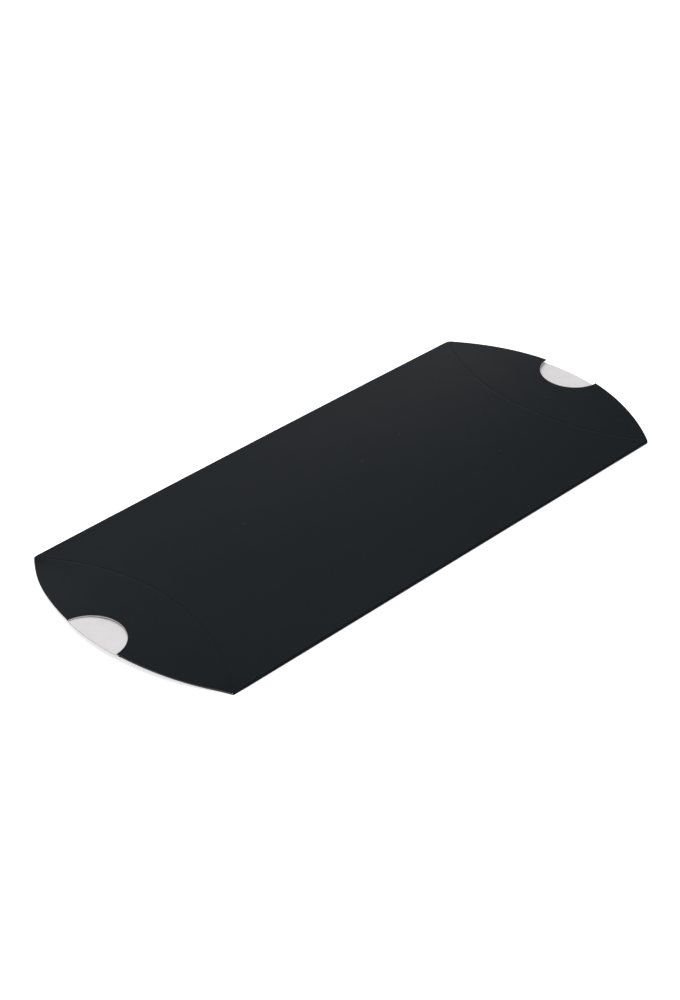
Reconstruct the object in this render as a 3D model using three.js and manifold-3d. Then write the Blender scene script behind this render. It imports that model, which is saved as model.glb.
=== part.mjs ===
// A pillow box, delivered flat: two board panels that lie on each other, joined along both long sides,
// with a lens-shaped flap on each panel's ends. Each panel bends when the box is squeezed open, so it is
// made of strips that meet along its bending lines. Millimetres, +Z up, the underside at z = 0,
// +X along the side folds, the glued seam on the +Y side.
import * as THREE from "three";
import { mergeVertices } from "three/addons/utils/BufferGeometryUtils.js";
import Module from "manifold-3d";

const wasm = await Module();
wasm.setup();

// Driving dimensions of the box
const flatWidth = 110; // over both side folds, lying flat
const sideFoldLength = 227; // between the corners of one side fold
const creaseRise = 18.3; // how far each curved score bows in from the corners
const flapRise = 18.3; // how far each flap's cut edge bows out from the corners
const notchRadius = 13.4; // half-moon thumb notch in each upper flap
const boardThickness = 0.4;
const layerGap = 0.65; // between the inner faces of the two panels
const stripCount = 7; // strips in each panel, an odd number

// Clearances along the lines where the board turns
const bendGap = 0.2; // between neighbouring strips
const scoreGap = 0.2; // between a panel and its flap
const flapTipInset = 0.8; // how far a flap stops short of the side fold
const foldWrap = 50; // degrees of each rounded side fold that one strip carries
const seamEdgeReach = 0.35; // how far the cut edge of the upper panel passes the fold line

// Glue flap and the adhesive on it
const glueFlapWidth = 13;
const glueFlapEndInset = 5; // from the end of the side fold
const glueFlapTaper = 11; // how much shorter each end is at the inner edge
const glueFlapFoldGap = 0.2; // from the fold line
const glueThickness = 0.08;
const glueWidth = 8;
const glueEndInset = 8; // from the ends of the glue flap's inner edge

// Finishes
const blackBoard = new THREE.MeshStandardMaterial({ color: 0x25272a, roughness: 0.62, metalness: 0 });
const whiteBoard = new THREE.MeshStandardMaterial({ color: 0xdcdada, roughness: 0.85, metalness: 0 });
const driedGlue = new THREE.MeshStandardMaterial({ color: 0xe9e3d2, roughness: 0.5, metalness: 0 });

// Worked out from the driving dimensions
const foldRadius = boardThickness + layerGap / 2; // outside of the near side fold
const foldLine = flatWidth / 2 - foldRadius; // distance of each fold's axis from the centre line
const upperInside = boardThickness + layerGap; // height of the upper panel's inner face
const stripWidth = (2 * foldLine) / stripCount;
const arcSegments = 6; // on each strip's stretch of a curved edge
const foldSegments = 5;

const cornerX = sideFoldLength / 2;
const creaseRadius = (foldLine ** 2 + creaseRise ** 2) / (2 * creaseRise);
const creaseCentre = cornerX - creaseRise + creaseRadius;
const flapRadius = (foldLine ** 2 + flapRise ** 2) / (2 * flapRise);
const flapCentre = cornerX + flapRise - flapRadius;
const panelEdgeRadius = creaseRadius + scoreGap / 2;
const flapRootRadius = creaseRadius - scoreGap / 2;

// The end of a panel at width y, on the right-hand score
function panelEndAt(y) {
  const side = Math.min(Math.abs(y), foldLine);
  return creaseCentre - Math.sqrt(panelEdgeRadius ** 2 - side ** 2);
}

// The two straight sides of strip number index, counted from the near fold
function stripSides(index) {
  const low = -foldLine + index * stripWidth;
  return [low + bendGap / 2, low + stripWidth - bendGap / 2];
}

// Plan of one panel strip, with its two ends on the curved scores
function panelPlan(low, high) {
  const lowTurn = Math.asin(Math.max(low, -foldLine) / panelEdgeRadius);
  const highTurn = Math.asin(Math.min(high, foldLine) / panelEdgeRadius);
  const plan = new THREE.Shape();
  plan.moveTo(-panelEndAt(low), low);
  plan.lineTo(panelEndAt(low), low);
  plan.absarc(creaseCentre, 0, panelEdgeRadius, Math.PI - lowTurn, Math.PI - highTurn, true);
  plan.lineTo(panelEndAt(high), high);
  plan.lineTo(-panelEndAt(high), high);
  plan.absarc(-creaseCentre, 0, panelEdgeRadius, highTurn, lowTurn, true);
  plan.closePath();
  return plan;
}

// Plan of one strip of a right-hand flap, between the curved score and the curved cut edge
function flapPlan(low, high) {
  const rootLow = Math.PI - Math.asin(low / flapRootRadius);
  const rootHigh = Math.PI - Math.asin(high / flapRootRadius);
  const plan = new THREE.Shape();
  plan.absarc(flapCentre, 0, flapRadius, Math.asin(low / flapRadius), Math.asin(high / flapRadius), false);
  plan.absarc(creaseCentre, 0, flapRootRadius, rootHigh, rootLow, false);
  plan.closePath();
  return plan;
}

// Board of the plan's outline, with its lower face at height bottom
function board(plan, bottom, thickness = boardThickness) {
  const sheet = new THREE.ExtrudeGeometry(plan, {
    depth: thickness,
    bevelEnabled: false,
    curveSegments: arcSegments,
  });
  return sheet.translate(0, 0, bottom);
}

// A closed geometry as a solid that can be cut
function solidOf(geometry) {
  const bare = geometry.clone();
  bare.deleteAttribute("normal");
  bare.deleteAttribute("uv");
  const merged = mergeVertices(bare);
  return new wasm.Manifold(
    new wasm.Mesh({
      numProp: 3,
      vertProperties: merged.attributes.position.array,
      triVerts: new Uint32Array(merged.index.array),
    }),
  );
}

// A cut solid as a geometry again
function geometryOf(solid) {
  const mesh = solid.getMesh();
  const geometry = new THREE.BufferGeometry();
  geometry.setAttribute("position", new THREE.BufferAttribute(mesh.vertProperties, 3));
  geometry.setIndex(new THREE.BufferAttribute(mesh.triVerts, 1));
  geometry.computeVertexNormals();
  return geometry;
}

// Section across an edge strip: flat board that starts to turn round the fold's axis.
// It is drawn for the lower panel's fold on the +Y side.
function foldSection(innerSide, axisHeight) {
  const start = -Math.PI / 2;
  const end = start + THREE.MathUtils.degToRad(foldWrap);
  const section = new THREE.Shape();
  section.moveTo(innerSide, 0);
  section.lineTo(foldLine, 0);
  section.absarc(foldLine, axisHeight, axisHeight, start, end, false);
  section.absarc(foldLine, axisHeight, axisHeight - boardThickness, end, start, true);
  section.lineTo(innerSide, boardThickness);
  section.closePath();
  return section;
}

// An edge strip of the lower panel on the +Y side, with its share of the rounded fold
function foldedStrip(innerSide, axisHeight) {
  const section = foldSection(innerSide, axisHeight);
  const bar = new THREE.ExtrudeGeometry(section, {
    depth: sideFoldLength,
    bevelEnabled: false,
    curveSegments: foldSegments,
  });
  bar.translate(0, 0, -sideFoldLength / 2);
  bar.applyMatrix4(
    new THREE.Matrix4().makeBasis(
      new THREE.Vector3(0, 1, 0),
      new THREE.Vector3(0, 0, 1),
      new THREE.Vector3(1, 0, 0),
    ),
  );
  const plan = panelPlan(innerSide, foldLine + axisHeight);
  const outline = board(plan, -boardThickness, axisHeight + 2 * boardThickness);
  return geometryOf(solidOf(bar).intersect(solidOf(outline)));
}

function addMesh(parent, name, geometry, material) {
  const mesh = new THREE.Mesh(geometry, material);
  mesh.name = name;
  parent.add(mesh);
}

const box = new THREE.Group();

// Lower panel, which the box lies on
const lastIndex = stripCount - 1;
const glueFlapBottom = upperInside - glueThickness - boardThickness;
const seamFoldRadius = (boardThickness + glueFlapBottom) / 2;
for (let index = 1; index < lastIndex; index += 1) {
  const [low, high] = stripSides(index);
  addMesh(box, `lower_panel_${index + 1}`, board(panelPlan(low, high), 0), blackBoard);
}
const edgeInnerSide = stripSides(lastIndex)[0];
addMesh(box, `lower_panel_${stripCount}`, foldedStrip(edgeInnerSide, seamFoldRadius), blackBoard);

// The near edge strips are the same strip turned end for end, and turned over for the upper panel
const nearEdge = new THREE.Group();
nearEdge.rotation.z = Math.PI;
addMesh(nearEdge, "lower_panel_1", foldedStrip(edgeInnerSide, foldRadius), blackBoard);
box.add(nearEdge);
const nearEdgeTurnedOver = new THREE.Group();
nearEdgeTurnedOver.rotation.x = Math.PI;
nearEdgeTurnedOver.position.z = 2 * foldRadius;
addMesh(nearEdgeTurnedOver, "upper_panel_1", foldedStrip(edgeInnerSide, foldRadius), blackBoard);
box.add(nearEdgeTurnedOver);

// Upper panel, whose last strip ends in a cut edge over the seam
for (let index = 1; index < stripCount; index += 1) {
  const [low, high] = stripSides(index);
  const side = index === lastIndex ? foldLine + seamEdgeReach : high;
  addMesh(box, `upper_panel_${index + 1}`, board(panelPlan(low, side), upperInside), blackBoard);
}

// End flaps, the left ones the right ones turned end for end
const rightEnd = new THREE.Group();
const leftEnd = new THREE.Group();
leftEnd.rotation.z = Math.PI;
box.add(rightEnd, leftEnd);
const notchHeight = 4 * boardThickness;
const notch = new THREE.CylinderGeometry(notchRadius, notchRadius, notchHeight, 48);
notch.rotateX(Math.PI / 2);
notch.translate(cornerX + flapRise, 0, upperInside + boardThickness / 2);
const notchSolid = solidOf(notch);
for (let index = 0; index < stripCount; index += 1) {
  const [low, high] = stripSides(index);
  const from = Math.max(low, -foldLine + flapTipInset);
  const to = Math.min(high, foldLine - flapTipInset);
  const plan = flapPlan(from, to);
  const lower = board(plan, 0);
  const upper = geometryOf(solidOf(board(plan, upperInside)).subtract(notchSolid));
  const leftNumber = stripCount - index;
  addMesh(rightEnd, `lower_right_flap_${index + 1}`, lower, blackBoard);
  addMesh(leftEnd, `lower_left_flap_${leftNumber}`, lower, blackBoard);
  addMesh(rightEnd, `upper_right_flap_${index + 1}`, upper, blackBoard);
  addMesh(leftEnd, `upper_left_flap_${leftNumber}`, upper, blackBoard);
}

// Glue flap inside the far fold, and the adhesive that holds it to the upper panel
const glueFlapOuter = foldLine - glueFlapFoldGap;
const glueFlapInner = glueFlapOuter - glueFlapWidth;
const glueFlapHalf = cornerX - glueFlapEndInset;
const glueFlapPlan = new THREE.Shape();
glueFlapPlan.moveTo(-glueFlapHalf + glueFlapTaper, glueFlapInner);
glueFlapPlan.lineTo(glueFlapHalf - glueFlapTaper, glueFlapInner);
glueFlapPlan.lineTo(glueFlapHalf, glueFlapOuter);
glueFlapPlan.lineTo(-glueFlapHalf, glueFlapOuter);
glueFlapPlan.closePath();
addMesh(box, "glue_flap", board(glueFlapPlan, glueFlapBottom), whiteBoard);

const glueHalf = glueFlapHalf - glueFlapTaper - glueEndInset;
const glueMiddle = (glueFlapInner + glueFlapOuter) / 2;
const glue = new THREE.BoxGeometry(2 * glueHalf, glueWidth, glueThickness);
glue.translate(0, glueMiddle, upperInside - glueThickness / 2);
addMesh(box, "seam_glue", glue, driedGlue);

export default box;
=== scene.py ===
import math

import bpy
from mathutils import Matrix, Vector


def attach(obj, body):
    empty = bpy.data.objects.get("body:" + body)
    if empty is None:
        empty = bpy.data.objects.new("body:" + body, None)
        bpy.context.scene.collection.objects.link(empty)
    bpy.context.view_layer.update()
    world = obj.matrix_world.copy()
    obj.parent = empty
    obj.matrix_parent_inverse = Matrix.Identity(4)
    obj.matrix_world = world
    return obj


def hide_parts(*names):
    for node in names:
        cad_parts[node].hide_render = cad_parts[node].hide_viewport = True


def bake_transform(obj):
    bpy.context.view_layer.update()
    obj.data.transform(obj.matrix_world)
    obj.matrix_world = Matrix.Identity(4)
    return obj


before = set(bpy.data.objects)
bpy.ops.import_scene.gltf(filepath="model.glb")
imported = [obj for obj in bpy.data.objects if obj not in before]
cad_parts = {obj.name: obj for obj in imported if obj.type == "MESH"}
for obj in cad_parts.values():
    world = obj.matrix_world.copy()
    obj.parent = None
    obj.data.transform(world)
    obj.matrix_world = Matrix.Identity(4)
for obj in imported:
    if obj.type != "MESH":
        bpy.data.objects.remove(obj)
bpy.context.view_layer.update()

# the flat box, in metres: long side folds along X, the glued seam on the +Y side
boxSize = {
    "flatWidth": 0.110,
    "sideFold": 0.227,
    "creaseRise": 0.0183,
    "flapRise": 0.0183,
    "notchRadius": 0.0134,
    "board": 0.0004,
    "layerGap": 0.00065,
    "seamFoldRadius": 0.000485,
    "seamEdgeReach": 0.00035,
    "strips": 7,
}
board = boxSize["board"]
stripCount = boxSize["strips"]
lastSheet = stripCount - 1  # a sheet reaches from the middle of one strip to the middle of the next
foldRadius = board + boxSize["layerGap"] / 2
foldLine = boxSize["flatWidth"] / 2 - foldRadius
upperInside = board + boxSize["layerGap"]
upperFace = upperInside + board
stripWidth = 2 * foldLine / stripCount
cornerX = boxSize["sideFold"] / 2
creaseApex = cornerX - boxSize["creaseRise"]
flapApex = cornerX + boxSize["flapRise"]
creaseRadius = (foldLine ** 2 + boxSize["creaseRise"] ** 2) / (2 * boxSize["creaseRise"])
flapRadius = (foldLine ** 2 + boxSize["flapRise"] ** 2) / (2 * boxSize["flapRise"])

noiseSpan = (0.3, 0.7)  # where most of a noise pattern lies
fullShare = (0, 1)

# the colour sockets of a mix node go by their place, because their names repeat
mixSocket = {"share": 0, "first": 6, "second": 7, "result": 2}


def newFinish(name):
    finish = bpy.data.materials.new(name)
    finish.use_nodes = True
    tree = finish.node_tree
    shader = tree.nodes["Principled BSDF"]
    return finish, tree, shader


def addNode(tree, kind, label, **settings):
    node = tree.nodes.new(kind)
    node.label = label
    for key, value in settings.items():
        setattr(node, key, value)
    return node


def setInputs(node, values):
    for socket, value in values.items():
        node.inputs[socket].default_value = value


def setSurface(shader, look):
    setInputs(shader, {"Roughness": look["roughness"], "Specular IOR Level": look["specular"]})


def objectPattern(tree, scale=(1, 1, 1)):
    # object coordinates, stretched for the pattern that follows
    place = addNode(tree, "ShaderNodeTexCoord", "place")
    stretch = addNode(tree, "ShaderNodeMapping", "stretch")
    setInputs(stretch, {"Scale": scale})
    tree.links.new(place.outputs["Object"], stretch.inputs["Vector"])
    return stretch.outputs["Vector"]


def noisePattern(tree, label, vector, scale, detail, roughness):
    noise = addNode(tree, "ShaderNodeTexNoise", label)
    setInputs(noise, {"Scale": scale, "Detail": detail, "Roughness": roughness})
    tree.links.new(vector, noise.inputs["Vector"])
    return noise.outputs["Fac"]


def rangeOf(tree, label, value, span, result):
    spread = addNode(tree, "ShaderNodeMapRange", label, clamp=True)
    setInputs(spread, {"From Min": span[0], "From Max": span[1]})
    setInputs(spread, {"To Min": result[0], "To Max": result[1]})
    tree.links.new(value, spread.inputs["Value"])
    return spread.outputs["Result"]


def mathStep(tree, label, operation, first, second):
    step = addNode(tree, "ShaderNodeMath", label, operation=operation)
    for socket, value in zip(step.inputs, (first, second)):
        if isinstance(value, (int, float)):
            socket.default_value = value
        else:
            tree.links.new(value, socket)
    return step.outputs["Value"]


def twoColours(tree, label, share, first, second):
    mix = addNode(tree, "ShaderNodeMix", label, data_type="RGBA")
    tree.links.new(share, mix.inputs[mixSocket["share"]])
    for key, value in (("first", first), ("second", second)):
        socket = mix.inputs[mixSocket[key]]
        if isinstance(value, tuple):
            socket.default_value = (*value, 1)
        else:
            tree.links.new(value, socket)
    return mix.outputs[mixSocket["result"]]


def bumpFrom(tree, label, height, strength, distance, normal=None):
    bump = addNode(tree, "ShaderNodeBump", label)
    setInputs(bump, {"Strength": strength, "Distance": distance})
    tree.links.new(height, bump.inputs["Height"])
    if normal is not None:
        tree.links.new(normal, bump.inputs["Normal"])
    return bump.outputs["Normal"]


# black print under a soft matt film, with faint clouds and a fine paper tooth
filmLook = {
    "dark": (0.0063, 0.0087, 0.0111),
    "light": (0.0069, 0.0093, 0.0118),
    "roughness": (0.35, 0.37),
    "specular": 0.040,
    "clouds": {"scale": 26, "detail": 4, "roughness": 0.55},
    "handling": {"scale": 70, "detail": 3, "roughness": 0.6},
    "tooth": {"scale": 1500, "detail": 4, "roughness": 0.6},
    "toothBump": {"strength": 0.2, "distance": 0.00004},
    "waves": {"scale": 34, "detail": 1, "roughness": 0.4},
    "waveBump": {"strength": 0.05, "distance": 0.00012},
}

# a few specks of dust on the film: most cells of the pattern stay clean
dustLook = {"colour": (0.040, 0.042, 0.040), "cells": 46, "speck": (0.008, 0.016), "cleanShare": 0.82}


def dustSpecks(tree, flat):
    cells = addNode(tree, "ShaderNodeTexVoronoi", "dust cells", voronoi_dimensions="2D")
    setInputs(cells, {"Scale": dustLook["cells"]})
    tree.links.new(flat, cells.inputs["Vector"])
    speck = rangeOf(tree, "speck", cells.outputs["Distance"], dustLook["speck"], (1, 0))
    chance = addNode(tree, "ShaderNodeSeparateColor", "cell chance")
    tree.links.new(cells.outputs["Color"], chance.inputs["Color"])
    chosen = mathStep(tree, "few cells", "GREATER_THAN", chance.outputs["Red"], dustLook["cleanShare"])
    return mathStep(tree, "dust", "MULTIPLY", speck, chosen)


def makeBlackFilm():
    finish, tree, shader = newFinish("black_film")
    flat = objectPattern(tree)
    cloud = noisePattern(tree, "clouds", flat, **filmLook["clouds"])
    share = rangeOf(tree, "cloud share", cloud, noiseSpan, fullShare)
    printed = twoColours(tree, "print", share, filmLook["dark"], filmLook["light"])
    colour = twoColours(tree, "dusty print", dustSpecks(tree, flat), printed, dustLook["colour"])
    tree.links.new(colour, shader.inputs["Base Color"])
    rubbed = noisePattern(tree, "handling marks", flat, **filmLook["handling"])
    sheen = rangeOf(tree, "sheen", rubbed, noiseSpan, filmLook["roughness"])
    tree.links.new(sheen, shader.inputs["Roughness"])
    tooth = noisePattern(tree, "paper tooth", flat, **filmLook["tooth"])
    fine = bumpFrom(tree, "tooth bump", tooth, **filmLook["toothBump"])
    wave = noisePattern(tree, "board waves", flat, **filmLook["waves"])
    waved = bumpFrom(tree, "wave bump", wave, **filmLook["waveBump"], normal=fine)
    tree.links.new(waved, shader.inputs["Normal"])
    setInputs(shader, {"Specular IOR Level": filmLook["specular"]})
    return finish


# the film in the pressed score, rubbed dull
scoreLook = {
    "colour": (0.0065, 0.0089, 0.0113),
    "roughness": 0.37,
    "specular": 0.039,
    "worn": {"scale": 900, "detail": 3, "roughness": 0.6},
    "wornBump": {"strength": 0.2, "distance": 0.00003},
}


def makePressedScore():
    finish, tree, shader = newFinish("pressed_score")
    worn = noisePattern(tree, "worn film", objectPattern(tree), **scoreLook["worn"])
    bump = bumpFrom(tree, "worn bump", worn, **scoreLook["wornBump"])
    tree.links.new(bump, shader.inputs["Normal"])
    setInputs(shader, {"Base Color": (*scoreLook["colour"], 1)})
    setSurface(shader, scoreLook)
    return finish


# uncoated white side of the board, with short fibres
insideLook = {
    "shade": (0.675, 0.66, 0.66),
    "white": (0.72, 0.705, 0.705),
    "roughness": 0.85,
    "specular": 0.2,
    "formation": {"scale": 160, "detail": 4, "roughness": 0.6},
    "fibreStretch": (260, 1500, 1500),
    "fibres": {"scale": 1, "detail": 3, "roughness": 0.6},
    "fibreBump": {"strength": 0.2, "distance": 0.00003},
    "paperSpan": (0.12, 0.4),
}


def makeWhiteInside():
    finish, tree, shader = newFinish("white_inside")
    cloud = noisePattern(tree, "formation", objectPattern(tree), **insideLook["formation"])
    along = objectPattern(tree, insideLook["fibreStretch"])
    fibre = noisePattern(tree, "fibres", along, **insideLook["fibres"])
    both = mathStep(tree, "paper", "MULTIPLY", cloud, fibre)
    share = rangeOf(tree, "paper share", both, insideLook["paperSpan"], fullShare)
    colour = twoColours(tree, "paper colour", share, insideLook["shade"], insideLook["white"])
    tree.links.new(colour, shader.inputs["Base Color"])
    bump = bumpFrom(tree, "fibre bump", fibre, **insideLook["fibreBump"])
    tree.links.new(bump, shader.inputs["Normal"])
    setSurface(shader, insideLook)
    return finish


# cut edge: the pale core of the board, in layers
edgeLook = {
    "dark": (0.72, 0.68, 0.65),
    "light": (0.80, 0.76, 0.73),
    "roughness": 0.9,
    "specular": 0.15,
    "stretch": (500, 500, 6000),
    "grain": {"scale": 1, "detail": 3, "roughness": 0.6},
    "bump": {"strength": 0.3, "distance": 0.00003},
}

# the cut along the arcs, with the black film rolled over it
rolledLook = {
    "dark": (0.05, 0.048, 0.047),
    "light": (0.10, 0.096, 0.093),
    "roughness": 0.8,
    "specular": 0.15,
    "stretch": (700, 700, 3000),
    "grain": {"scale": 1, "detail": 3, "roughness": 0.6},
    "bump": {"strength": 0.3, "distance": 0.00003},
}


def makeCut(name, look):
    finish, tree, shader = newFinish(name)
    grain = noisePattern(tree, "cut grain", objectPattern(tree, look["stretch"]), **look["grain"])
    share = rangeOf(tree, "grain share", grain, noiseSpan, fullShare)
    colour = twoColours(tree, "cut colour", share, look["dark"], look["light"])
    tree.links.new(colour, shader.inputs["Base Color"])
    tree.links.new(bumpFrom(tree, "cut bump", grain, **look["bump"]), shader.inputs["Normal"])
    setSurface(shader, look)
    return finish


# the line of dried glue under the seam
glueLook = {
    "thin": (0.62, 0.58, 0.50),
    "thick": (0.74, 0.70, 0.60),
    "roughness": (0.35, 0.6),
    "specular": 0.45,
    "spread": {"scale": 220, "detail": 3, "roughness": 0.55},
    "bump": {"strength": 0.3, "distance": 0.00004},
}


def makeDriedGlue():
    finish, tree, shader = newFinish("dried_glue")
    spread = noisePattern(tree, "glue spread", objectPattern(tree), **glueLook["spread"])
    share = rangeOf(tree, "glue share", spread, noiseSpan, fullShare)
    colour = twoColours(tree, "glue colour", share, glueLook["thin"], glueLook["thick"])
    tree.links.new(colour, shader.inputs["Base Color"])
    gloss = rangeOf(tree, "glue gloss", spread, noiseSpan, glueLook["roughness"])
    tree.links.new(gloss, shader.inputs["Roughness"])
    tree.links.new(bumpFrom(tree, "glue bump", spread, **glueLook["bump"]), shader.inputs["Normal"])
    setInputs(shader, {"Specular IOR Level": glueLook["specular"]})
    return finish


blackFilm = makeBlackFilm()
pressedScore = makePressedScore()
whiteInside = makeWhiteInside()
cutEdge = makeCut("cut_edge", edgeLook)
rolledEdge = makeCut("rolled_edge", rolledLook)
driedGlue = makeDriedGlue()

# the finishes of a sheet by slot: the wall puts a face's inside one slot on, and its rim five slots on,
# where the rim beside a score takes the last
sheetFinish = {
    "film": blackFilm,
    "inside": whiteInside,
    "edge": cutEdge,
    "score": pressedScore,
    "scoreInside": whiteInside,
    "rim": blackFilm,
    "rolled": rolledEdge,
    "scoreRim": blackFilm,
}
finishSlot = {name: place for place, name in enumerate(sheetFinish)}
print("finishes ready:", blackFilm.name, whiteInside.name, cutEdge.name, driedGlue.name)

# the board springs up a little between its folds, most at the left end
spring = {
    "upperMiddle": 0.0009,
    "upperLeft": 0.00278,
    "upperRight": 0.0012,
    "upperStart": 0.20,
    "upperPower": 3.0,
    "archPower": 1.3,
    "lowerLeft": 0.0031,
    "lowerRight": 0.0003,
    "lowerStart": 0.92,
    "lowerSag": 0.0002,
    "farBow": 0.00045,
}

# at the left end the two flaps close up along their edges
closing = {"upper": 0.00025, "lower": 0.0002, "taper": 0.004}

# the near side fold is pressed flat towards its left corner
pressedCorner = {"radius": 0.00042, "along": 0.007, "across": 0.006}

# the box's corners are worn, so the folds end a little shorter on their outside
wornCorner = {"near": 0.0007, "far": 0.0012}

# the left arcs are cut a little shorter, except towards the far corner
leftTrim = {"most": 0.00045, "farEnd": 0.044, "fade": 0.02, "taper": 0.004}

# the thumb notches sit a little further in than the arc's tip, and off the middle: -1 is the left end
notchShift = {-1: 0.00015, 1: 0.0004}
notchInset = {-1: 0.0002, 1: 0.0005}

# the curved score: a shallow groove pressed into the outer face, at most a share of the flap's width
score = {
    "reach": 0.0007,
    "widthShare": 0.3,
    "shoulder": 0.5,
    "depth": 0.000045,
    "shoulderDepth": 0.45,
    "support": 1.25,
}

# the right score is pressed deeper, a little further in
scorePress = {-1: 1.0, 1: 1.7}
scoreInset = {-1: 0.0, 1: 0.0004}


def easeIn(share):
    share = min(max(share, 0.0), 1.0)
    return share * share * (3 - 2 * share)


def evenSteps(first, last, count):
    return [first + (last - first) * i / count for i in range(count + 1)]


def sideOf(x):
    return -1 if x < 0 else 1


def foldAt(number):
    return -foldLine + number * stripWidth


def middleOf(number):
    return foldAt(number - 0.5)


def creaseAt(y, side=-1):
    # how far from the middle the score runs; the left one has no inset, as the hinges of both ends
    across = min(abs(y), foldLine)
    middle = creaseApex - scoreInset[side] * (1 - (across / foldLine) ** 2)
    return middle + creaseRadius - math.sqrt(creaseRadius ** 2 - across ** 2)


def flapEdgeAt(y):
    across = min(abs(y), foldLine)
    return flapApex - flapRadius + math.sqrt(flapRadius ** 2 - across ** 2)


def flapWidthAt(y):
    return flapEdgeAt(y) - creaseAt(y)


def trimAt(y):
    share = easeIn((leftTrim["farEnd"] - y) / leftTrim["fade"])
    return leftTrim["most"] * share * min(1.0, flapWidthAt(y) / leftTrim["taper"])


def notchEdgeAt(y, side):
    radius = boxSize["notchRadius"]
    across = y - notchShift[side]
    if abs(across) >= radius:
        return flapApex
    return flapApex - notchInset[side] - math.sqrt(radius ** 2 - across ** 2)


def archAt(y):
    return max(0.0, 1 - (y / foldLine) ** 2) ** spring["archPower"]


def endShare(x, start):
    # 0 up to that share of the way to the score, 1 at the tip of the flap
    share = (abs(x) - creaseApex * start) / (flapApex - creaseApex * start)
    return min(max(share, 0.0), 1.0)


def leftFlapShare(x, y):
    # 0 up to the left score, 1 at the left flap's cut edge
    root = creaseAt(y)
    width = flapWidthAt(y)
    if x > -root or width <= 0:
        return 0.0
    return min((-x - root) / width, 1.0)


def farBow(x, y):
    # the far long side stands a little off the table in its middle
    along = max(0.0, 1 - (x / cornerX) ** 2)
    return spring["farBow"] * along * easeIn((y / foldLine + 1) / 2)


def pressedShare(x, y):
    # 1 at the left near corner
    along = easeIn(1 - (cornerX + x) / pressedCorner["along"])
    return along * easeIn(1 - (y + foldLine) / pressedCorner["across"])


def closingAt(x, y):
    # 0 at the left score, 1 at the sides of the left flap's cut edge
    free = (1 - archAt(y)) * (1 - pressedShare(x, y))
    return easeIn(leftFlapShare(x, y)) * min(1.0, flapWidthAt(y) / closing["taper"]) * free


def lowerSag(x, y):
    # the lower left flap hangs a little, most halfway between its score and its cut edge
    share = leftFlapShare(x, y)
    return spring["lowerSag"] * archAt(y) * 4 * share * (1 - share)


def foldRadiusAt(x):
    return foldRadius + (pressedCorner["radius"] - foldRadius) * pressedShare(x, -foldLine)


def upperHeight(x, y):
    middle = spring["upperMiddle"]
    tip = spring["upperLeft"] if x < 0 else spring["upperRight"]
    rise = middle + (tip - middle) * endShare(x, spring["upperStart"]) ** spring["upperPower"]
    pressed = 2 * (foldRadius - pressedCorner["radius"]) * pressedShare(x, y)
    sunk = pressed + closing["upper"] * closingAt(x, y)
    return upperFace + farBow(x, y) + archAt(y) * rise - sunk


def lowerHeight(x, y):
    tip = spring["lowerLeft"] if x < 0 else spring["lowerRight"]
    rise = tip * easeIn(endShare(x, spring["lowerStart"]))
    closed = closing["lower"] * closingAt(x, y)
    return farBow(x, y) + archAt(y) * rise + closed - lowerSag(x, y)


def grooveAt(y, side, outward, width):
    # places and depths of the groove on one side of the score, and where the plain board goes on
    crease = creaseAt(y, side)
    reach = min(score["reach"], score["widthShare"] * width)
    steps = [
        (0.0, score["depth"]),
        (score["shoulder"] * reach, score["shoulderDepth"] * score["depth"]),
        (reach, 0.0),
    ]
    groove = [(side * (crease + outward * away), depth * scorePress[side]) for away, depth in steps]
    return groove, crease + outward * score["support"] * reach


def panelHalf(y, side, columns):
    # from the middle out to the score
    groove, plainEnd = grooveAt(y, side, -1, creaseAt(y, side))
    return [(side * x, 0.0) for x in evenSteps(0, plainEnd, columns)] + groove[::-1]


def panelRow(y, columns):
    # from the left score to the right one, with the middle once
    return panelHalf(y, -1, columns)[:0:-1] + panelHalf(y, 1, columns)


def panelRows(number, step):
    # from the middle of one strip to the middle of the next, and out to the folds
    low = -foldLine if number == 1 else middleOf(number)
    high = foldLine if number == lastSheet else middleOf(number + 1)
    return evenSteps(low, high, round((high - low) / step))


def flapHalf(y, side, columns, edge):
    # from the score out to the cut edge
    groove, plainStart = grooveAt(y, side, 1, max(edge - creaseAt(y, side), 0.0))
    return groove + [(side * x, 0.0) for x in evenSteps(plainStart, edge, columns)]


def gridCornersTo(piece, points):
    # points[row][column] is the place of that corner of the grid, which is 1 wide round the origin
    lastRow = len(points) - 1
    lastColumn = len(points[0]) - 1
    for corner in piece.data.vertices:
        column = round((corner.co.x + 0.5) * lastColumn)
        row = round((corner.co.y + 0.5) * lastRow)
        corner.co = points[row][column]


def markScore(piece):
    # the faces of the groove get the pressed finish
    for face in piece.data.polygons:
        crease = creaseAt(face.center.y, sideOf(face.center.x))
        if abs(abs(face.center.x) - crease) < score["reach"]:
            face.material_index = finishSlot["score"]


def markCutEdges(piece, finishAt):
    # the rim is black where the sheet only meets the next one, and has the cut's finish elsewhere
    for face in piece.data.polygons:
        if face.material_index == finishSlot["rim"]:
            face.material_index = finishSlot[finishAt(face.center.x, face.center.y)]


# every sheet of board is a grid, laid out by its points and given its thickness inwards
sheetMake = {"mergeDistance": 0.000001, "smoothAngle": 32}


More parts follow.
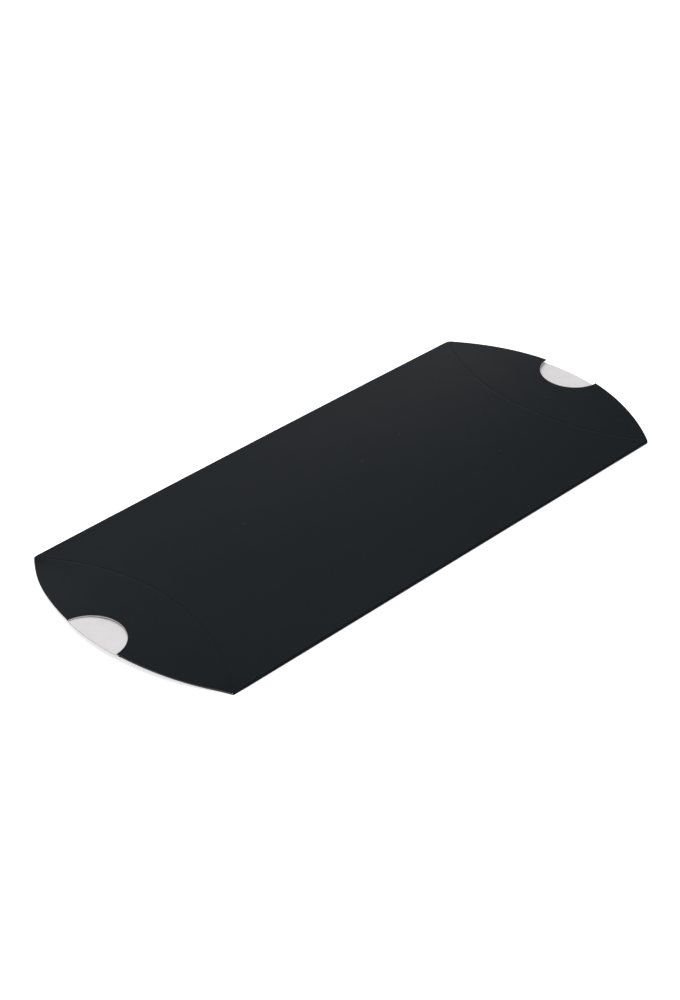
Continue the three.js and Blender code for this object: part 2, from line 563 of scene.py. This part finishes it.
def boardSheet(name, points, turnedOver=False, rimFinish=None, thickness=board):
    bpy.ops.object.select_all(action="DESELECT")
    bpy.ops.mesh.primitive_grid_add(
        x_subdivisions=len(points[0]) - 1, y_subdivisions=len(points) - 1, size=1
    )
    piece = bpy.context.object
    piece.name = name
    gridCornersTo(piece, points)
    bpy.ops.object.mode_set(mode="EDIT")
    bpy.ops.mesh.select_all(action="SELECT")
    bpy.ops.mesh.remove_doubles(threshold=sheetMake["mergeDistance"])
    if turnedOver:
        bpy.ops.mesh.flip_normals()
    bpy.ops.object.mode_set(mode="OBJECT")
    for finish in sheetFinish.values():
        piece.data.materials.append(finish)
    markScore(piece)
    wall = piece.modifiers.new("boardThickness", "SOLIDIFY")
    wall.thickness = thickness
    wall.offset = -1
    wall.material_offset = finishSlot["inside"]
    wall.material_offset_rim = finishSlot["rim"]
    bpy.ops.object.modifier_apply(modifier=wall.name)
    if rimFinish is not None:
        markCutEdges(piece, rimFinish)
    bpy.ops.object.shade_smooth_by_angle(angle=math.radians(sheetMake["smoothAngle"]))
    return piece


def arcFinish(x, y):
    # the black film is rolled over the cut, except at the notch
    atNotch = abs(y - notchShift[sideOf(x)]) < boxSize["notchRadius"]
    return "edge" if atNotch else "rolled"


# lower panel with its two plain flaps, which lie a little to the right of the upper ones
lowerPanel = {"columns": 30, "flapColumns": 12, "rowStep": 0.0018}

# how far they lie aside, and where the left one's trim sets in, in notch radii from the middle
lowerSlip = {"middle": 0.00035, "leftSides": 0.0009, "cornerPower": 4, "notchFrom": 0.8, "notchFade": 0.4}


def lowerEdgeAt(y, side):
    across = (y / foldLine) ** 2
    if side > 0:
        return flapEdgeAt(y) + lowerSlip["middle"] * (1 - across)
    slip = lowerSlip["middle"] + (lowerSlip["leftSides"] - lowerSlip["middle"]) * across
    radius = boxSize["notchRadius"]
    besideNotch = easeIn((abs(y) - lowerSlip["notchFrom"] * radius) / (lowerSlip["notchFade"] * radius))
    return flapEdgeAt(y) - slip * (1 - across ** lowerSlip["cornerPower"]) - trimAt(y) * besideNotch


def lowerEnd(y, side):
    return flapHalf(y, side, lowerPanel["flapColumns"], lowerEdgeAt(y, side))


def lowerRim(x, y):
    onArc = abs(x) > lowerEdgeAt(y, sideOf(x)) - board
    return arcFinish(x, y) if onArc else "rim"


def makeLowerSheet(number):
    points = []
    for y in panelRows(number, lowerPanel["rowStep"]):
        row = lowerEnd(y, -1)[:0:-1] + panelRow(y, lowerPanel["columns"]) + lowerEnd(y, 1)[1:]
        points.append([(x, y, lowerHeight(x, y) + depth) for x, depth in row])
    sheet = boardSheet(f"lower_sheet_{number}", points, turnedOver=True, rimFinish=lowerRim)
    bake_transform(sheet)
    stripsHere = [number] if number < lastSheet else [number, stripCount]
    for strip in stripsHere:
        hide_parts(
            f"lower_panel_{strip}", f"lower_left_flap_{strip}", f"lower_right_flap_{strip}"
        )


def foldRow(turn, worn, columns):
    end = cornerX - worn * math.sin(turn)
    return evenSteps(-end, end, columns)


# near side fold: the rounded turn between the two panels
nearFold = {"columns": 150, "steps": 14}


def makeNearFold():
    points = []
    for turn in evenSteps(0, math.pi, nearFold["steps"]):
        row = []
        for x in foldRow(turn, wornCorner["near"], nearFold["columns"]):
            radius = foldRadiusAt(x)
            row.append((x, -foldLine - radius * math.sin(turn), radius * (1 - math.cos(turn))))
        points.append(row)
    fold = boardSheet("near_side_fold", points)
    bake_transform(fold)


# far side fold: the turn of the lower panel towards the glue flap, which leaves room for the opening box
seamFold = {"columns": 40, "turn": 90, "steps": 10}


def makeSeamFold():
    radius = boxSize["seamFoldRadius"]
    points = []
    for turn in evenSteps(0, math.radians(seamFold["turn"]), seamFold["steps"]):
        y = foldLine + radius * math.sin(turn)
        z = radius * (1 - math.cos(turn))
        row = foldRow(turn, wornCorner["far"], seamFold["columns"])
        points.append([(x, y, z + farBow(x, y)) for x in row])
    fold = boardSheet("seam_fold", points, turnedOver=True)
    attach(fold, f"lower_{stripCount}")


# upper panel: six sheets, each reaching from the middle of one strip to the middle of the next, and out to
# the folds
upperPanel = {"columns": 30, "rowStep": 0.0018}


def seamRim(x, y):
    return "edge" if y > foldLine else "rim"


def makeUpperSheet(number):
    rows = panelRows(number, upperPanel["rowStep"])
    if number == lastSheet:
        rows.append(foldLine + boxSize["seamEdgeReach"])
    points = []
    for y in rows:
        row = panelRow(y, upperPanel["columns"])
        worn = 1 - wornCorner["far"] / cornerX if y > foldLine else 1
        points.append([(x * worn, y, upperHeight(x, y) - depth) for x, depth in row])
    sheet = boardSheet(f"upper_sheet_{number}", points, rimFinish=seamRim)
    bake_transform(sheet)
    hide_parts(f"upper_panel_{number}")
    if number == lastSheet:
        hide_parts(f"upper_panel_{stripCount}")


# glue flap inside the far fold, and the line of glue on it, both under the upper panel
glueFlap = {"width": 0.013, "foldGap": 0.0002, "endInset": 0.005, "taper": 0.011, "columns": 30, "rows": 6}
seamGlue = {"thickness": 0.00008, "width": 0.008, "endInset": 0.008}
glueFlapOuter = foldLine - glueFlap["foldGap"]
glueFlapInner = glueFlapOuter - glueFlap["width"]
glueFlapHalf = cornerX - glueFlap["endInset"]


def underUpper(rows, depth):
    # each row is its place across the box and half its length
    points = []
    for y, half in rows:
        row = evenSteps(-half, half, glueFlap["columns"])
        points.append([(x, y, upperHeight(x, y) - depth) for x in row])
    return points


def glueFlapRim(x, y):
    # the outer side is the end of the fold, so it keeps the film
    return "rim" if y > glueFlapOuter - board / 2 else "edge"


def makeGlueFlap():
    rows = []
    for y in evenSteps(glueFlapInner, glueFlapOuter, glueFlap["rows"]):
        rows.append((y, glueFlapHalf - glueFlap["taper"] * (glueFlapOuter - y) / glueFlap["width"]))
    points = underUpper(rows, board + seamGlue["thickness"])
    flap = boardSheet("glue_flap_sheet", points, rimFinish=glueFlapRim)
    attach(flap, f"upper_{stripCount}")
    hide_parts("glue_flap")


def makeSeamGlue():
    half = glueFlapHalf - glueFlap["taper"] - seamGlue["endInset"]
    middle = (glueFlapInner + glueFlapOuter) / 2
    reach = seamGlue["width"] / 2
    rows = [(y, half) for y in evenSteps(middle - reach, middle + reach, glueFlap["rows"])]
    glue = boardSheet("seam_glue_line", underUpper(rows, board), thickness=seamGlue["thickness"])
    glue.data.materials.clear()
    glue.data.materials.append(driedGlue)
    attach(glue, f"upper_{stripCount}")
    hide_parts("seam_glue")


# upper flaps: seven strips at each end, three of them cut by the thumb notch
upperFlap = {
    "columns": 12,
    "rowStep": 0.0018,
    "fewestRows": 2,
    "tipGap": 0.0003,
    "notchRows": 14,
    "cornerHalvings": 50,
}

# each strip runs on a little inside the next one, so that no slit opens when the flap bends
flapLap = {"lip": 0.00005, "reach": 0.0009, "drop": 0.0002, "inset": 0.00005}


def notchCornerY(side):
    # how far from the notch's middle its circle meets the flap's edge
    low, high = 0.0, boxSize["notchRadius"]
    for _ in range(upperFlap["cornerHalvings"]):
        middle = (low + high) / 2
        if notchEdgeAt(notchShift[side] + middle, side) < flapEdgeAt(middle):
            low = middle
        else:
            high = middle
    return low


def notchRows(first, last, side):
    # even turns round the notch, without the first
    radius, shift = boxSize["notchRadius"], notchShift[side]
    ends = [math.asin((y - shift) / radius) for y in (first, last)]
    return [shift + radius * math.sin(turn) for turn in evenSteps(*ends, upperFlap["notchRows"])[1:]]


def upperFlapRows(number, side):
    low = max(foldAt(number - 1), -foldLine + upperFlap["tipGap"])
    high = min(foldAt(number), foldLine - upperFlap["tipGap"])
    shift, reach = notchShift[side], notchCornerY(side)
    corners = (shift - reach, shift + reach)
    marks = [low] + [y for y in corners if low < y < high] + [high]
    rows = [low]
    for first, last in zip(marks, marks[1:]):
        if corners[0] < (first + last) / 2 < corners[1]:
            rows += notchRows(first, last, side)
        else:
            count = max(upperFlap["fewestRows"], round((last - first) / upperFlap["rowStep"]))
            rows += evenSteps(first, last, count)[1:]
    return rows


def upperEdgeAt(y, side):
    trimmed = flapEdgeAt(y) - (trimAt(y) if side < 0 else 0)
    return min(trimmed, notchEdgeAt(y, side))


def upperRim(x, y):
    onEdge = abs(x) > upperEdgeAt(y, sideOf(x)) - 2 * board
    return arcFinish(x, y) if onEdge else "rim"


def lapRows(number):
    # rows past the strip's end, and how far they lie below its face
    if number == stripCount:
        return []
    lip = flapLap["lip"]
    return [(foldAt(number) + lip, lip), (foldAt(number) + flapLap["reach"], flapLap["drop"])]


def makeUpperFlap(end, side, number):
    points = []
    for y, drop in [(y, 0.0) for y in upperFlapRows(number, side)] + lapRows(number):
        edge = upperEdgeAt(y, side) - (flapLap["inset"] if drop else 0)
        row = sorted(flapHalf(y, side, upperFlap["columns"], edge))  # from left to right at both ends
        points.append([(x, y, upperHeight(x, y) - depth - drop) for x, depth in row])
    flap = boardSheet(f"{end}_flap_sheet_{number}", points, rimFinish=upperRim)
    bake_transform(flap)
    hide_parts(f"upper_{end}_flap_{number}")


for number in range(1, stripCount):
    makeLowerSheet(number)
print("lower panel done")
makeNearFold()
makeSeamFold()
for number in range(1, stripCount):
    makeUpperSheet(number)
print("upper panel and side folds done")
makeGlueFlap()
makeSeamGlue()
for end, side in (("left", -1), ("right", 1)):
    for number in range(1, stripCount + 1):
        makeUpperFlap(end, side, number)
print("glue flap and upper flaps done")

# camera at the photo's angle
cameraSet = {
    "place": (-0.49855, -0.48359, 0.47954),
    "pitchDown": 34.647,
    "heading": -45.445,
    "roll": 0.760,
    "lens": 78.505,
    "sensor": 36,
    "nearest": 0.01,
}


def makeCamera():
    bpy.ops.object.camera_add(location=cameraSet["place"])
    camera = bpy.context.object
    camera.name = "photo_camera"
    heading = Matrix.Rotation(math.radians(cameraSet["heading"]), 3, "Z")
    tilt = Matrix.Rotation(math.radians(90 - cameraSet["pitchDown"]), 3, "X")
    roll = Matrix.Rotation(math.radians(cameraSet["roll"]), 3, "Z")
    camera.rotation_euler = (heading @ tilt @ roll).to_euler()
    camera.data.lens = cameraSet["lens"]
    camera.data.sensor_width = cameraSet["sensor"]
    camera.data.clip_start = cameraSet["nearest"]
    bpy.context.scene.camera = camera


# pale floor that keeps the object's shadow
floorLook = {
    "size": 8.0,
    "below": 0.00006,
    "colour": (0.86, 0.86, 0.86),
    "roughness": 0.9,
    "specular": 0.0,
    "glowColour": (1.0, 1.0, 1.0),
    "glow": 0.70,
}


def makeFloor():
    bpy.ops.object.select_all(action="DESELECT")
    bpy.ops.mesh.primitive_plane_add(size=floorLook["size"], location=(0, 0, -floorLook["below"]))
    floor = bpy.context.object
    floor.name = "pale_floor"
    finish, tree, shader = newFinish("pale_floor")
    setInputs(shader, {"Base Color": (*floorLook["colour"], 1)})
    setInputs(shader, {"Emission Color": (*floorLook["glowColour"], 1)})
    setSurface(shader, floorLook)
    rays = addNode(tree, "ShaderNodeLightPath", "which ray").outputs
    seen = mathStep(tree, "seen or mirrored", "MAXIMUM", rays["Is Camera Ray"], rays["Is Glossy Ray"])
    through = mathStep(tree, "or through glass", "MAXIMUM", seen, rays["Is Transmission Ray"])
    glow = mathStep(tree, "glow", "MULTIPLY", through, floorLook["glow"])
    tree.links.new(glow, shader.inputs["Emission Strength"])
    floor.data.materials.append(finish)


# soft studio light, and white behind the floor
worldLight = {"colour": (1.0, 1.0, 1.0), "strength": 0.40, "seen": 1.0}
softBoxes = [
    {"name": "top_box", "place": (-0.2, 0.0, 1.3), "size": 1.2, "power": 12.9},
    {"name": "back_box", "place": (1.04, 1.01, 0.39), "size": 0.5, "power": 1.37},
    {"name": "left_back_box", "place": (0.65, 1.23, 0.56), "size": 0.34, "power": 0.77},
    {"name": "high_back_box", "place": (0.76, 0.81, 1.15), "size": 0.4, "power": 0.755},
]
softBoxAim = (0, 0, 0)


def makeWorld():
    world = bpy.data.worlds.new("studio")
    bpy.context.scene.world = world
    world.use_nodes = True
    tree = world.node_tree
    backdrop = tree.nodes["Background"]
    setInputs(backdrop, {"Color": (*worldLight["colour"], 1)})
    rays = addNode(tree, "ShaderNodeLightPath", "which ray").outputs
    levels = (worldLight["strength"], worldLight["seen"])
    strength = rangeOf(tree, "white behind", rays["Is Camera Ray"], fullShare, levels)
    tree.links.new(strength, backdrop.inputs["Strength"])


def makeSoftBox(box):
    bpy.ops.object.light_add(type="AREA", location=box["place"])
    lamp = bpy.context.object
    lamp.name = box["name"]
    lamp.data.shape = "SQUARE"
    lamp.data.size = box["size"]
    lamp.data.energy = box["power"]
    aim = Vector(softBoxAim) - Vector(box["place"])
    lamp.rotation_euler = aim.to_track_quat("-Z", "Y").to_euler()


makeCamera()
makeFloor()
makeWorld()
for box in softBoxes:
    makeSoftBox(box)
bpy.context.scene.view_settings.view_transform = "Standard"
print("camera, floor and light set")
